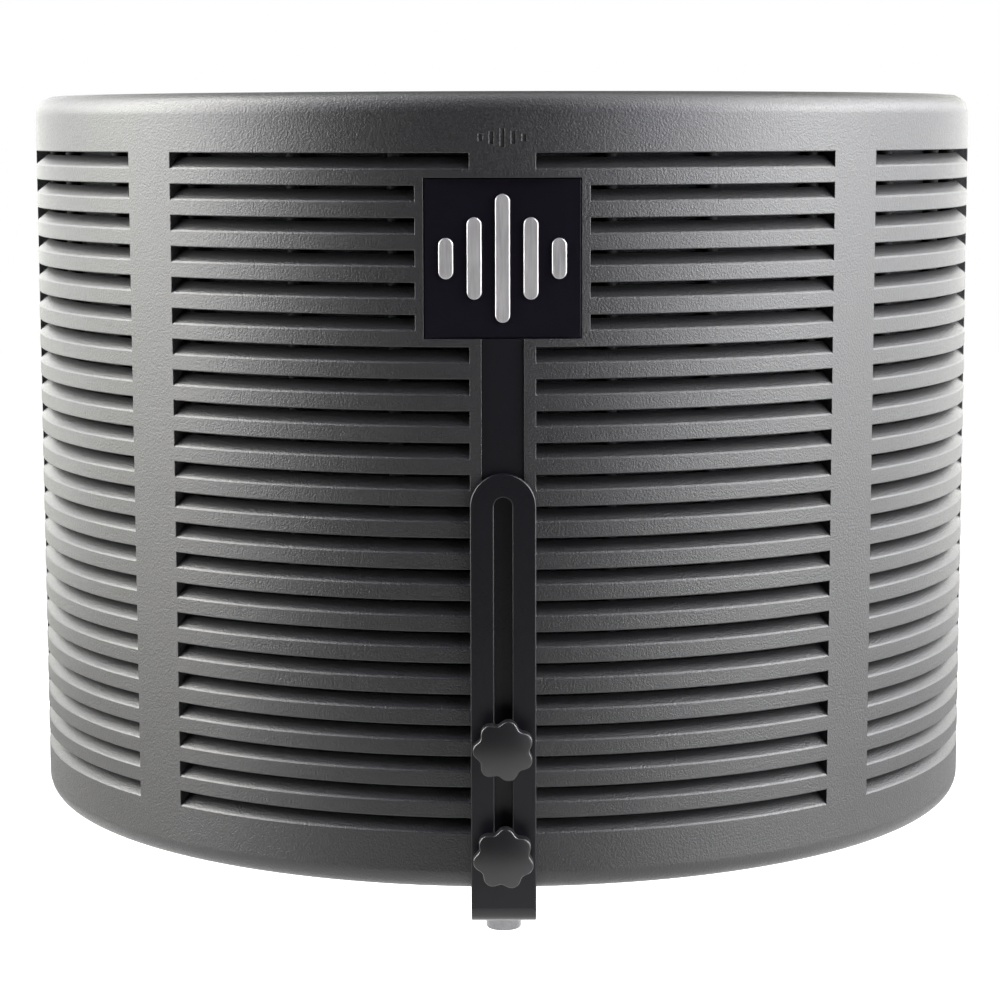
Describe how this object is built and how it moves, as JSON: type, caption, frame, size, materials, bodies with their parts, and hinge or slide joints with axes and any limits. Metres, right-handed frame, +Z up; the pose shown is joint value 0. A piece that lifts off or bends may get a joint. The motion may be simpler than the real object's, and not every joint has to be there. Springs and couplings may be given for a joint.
{
  "type": "microphone isolation shield",
  "caption": "Half-round louvred microphone isolation shield with a layered absorber inside, on a slotted L bracket with star knobs and a threaded stand post.",
  "frame": {"origin": "centre of the mouth of the stand socket, at the lower end of the screw post", "axes": "+Z up along the post, -Y towards the louvred outside of the shield, +Y towards the open singer's side"},
  "size_m": [0.4, 0.219, 0.3382],
  "materials": {
    "shell_plastic": "fine spark-eroded grain, satin",
    "badge_black": "satin",
    "badge_silver": "fine brushed",
    "strip_black": "satin",
    "insert_brass": "machined",
    "rod_plastic": "matte",
    "wool_felt": "matte",
    "foil_sheet": "satin",
    "foam_black": "matte open-cell",
    "bezel_plastic": "fine grain, satin",
    "screw_black": "satin",
    "bracket_black": "satin powder coat",
    "washer_steel": "blackened, satin",
    "knob_plastic": "satin moulded",
    "stud_steel": "zinc plated",
    "post_chrome": "polished",
    "bush_nylon": "satin",
    "post_washer_steel": "polished",
    "nut_chrome": "knurled, polished",
    "adaptor_brass": "machined"
  },
  "bodies": {
    "stand_mount": {"stand_post": "post_chrome", "mic_thread_adaptor": "adaptor_brass"},
    "slot_slider": {"slot_bush": "bush_nylon"},
    "bracket": {"slotted_bracket": "bracket_black"},
    "shield": {"outer_shell": "shell_plastic", "badge_plate": "badge_black", "badge_emblem": "badge_silver", "spine_strip": "strip_black", "spine_inserts": "insert_brass", "outer_spacer_rods": "rod_plastic", "wool_layer": "wool_felt", "foil_layer": "foil_sheet", "inner_spacer_rods": "rod_plastic", "foam_absorber": "foam_black", "inner_bezel": "bezel_plastic", "bezel_screws": "screw_black"},
    "upper_clamp": {"upper_washer": "washer_steel"},
    "upper_star_knob": {"upper_knob": "knob_plastic", "upper_stud": "stud_steel"},
    "lower_clamp": {"lower_washer": "washer_steel"},
    "lower_star_knob": {"lower_knob": "knob_plastic", "lower_stud": "stud_steel"},
    "post_clamp": {"post_washer": "post_washer_steel"},
    "post_lock_nut": {"lock_nut": "nut_chrome"}
  },
  "joints": [
    {"name": "shield_swivel", "type": "hinge", "parent": "stand_mount", "child": "slot_slider", "pos_m": [0, 0, 0.0297], "axis": [0, 0, 1], "continuous": true},
    {"name": "reach_slide", "type": "slide", "parent": "slot_slider", "child": "bracket", "axis": [0, -1, 0], "range_m": [0, 0.095]},
    {"name": "height_slide", "type": "slide", "parent": "bracket", "child": "shield", "axis": [0, 0, 1], "range_m": [0, 0.088]},
    {"name": "upper_clamp_travel", "type": "slide", "parent": "shield", "child": "upper_clamp", "axis": [0, -1, 0], "range_m": [0, 0.0025]},
    {"name": "upper_knob_turn", "type": "hinge", "parent": "upper_clamp", "child": "upper_star_knob", "pos_m": [0, -0.1, 0.097], "axis": [0, -1, 0], "range_deg": [0, 905]},
    {"name": "lower_clamp_travel", "type": "slide", "parent": "shield", "child": "lower_clamp", "axis": [0, -1, 0], "range_m": [0, 0.0025]},
    {"name": "lower_knob_turn", "type": "hinge", "parent": "lower_clamp", "child": "lower_star_knob", "pos_m": [0, -0.1, 0.0562], "axis": [0, -1, 0], "range_deg": [0, 905]},
    {"name": "post_washer_lift", "type": "slide", "parent": "stand_mount", "child": "post_clamp", "axis": [0, 0, 1], "range_m": [0, 0.0024]},
    {"name": "lock_nut_turn", "type": "hinge", "parent": "post_clamp", "child": "post_lock_nut", "pos_m": [0, 0, 0.037], "axis": [0, 0, 1], "range_deg": [0, 545]}
  ],
  "couplings": [
    {"joint": "upper_knob_turn", "follows": "upper_clamp_travel", "rad_per_m": 6283.2},
    {"joint": "lower_knob_turn", "follows": "lower_clamp_travel", "rad_per_m": 6283.2},
    {"joint": "lock_nut_turn", "follows": "post_washer_lift", "rad_per_m": 3957.9}
  ]
}
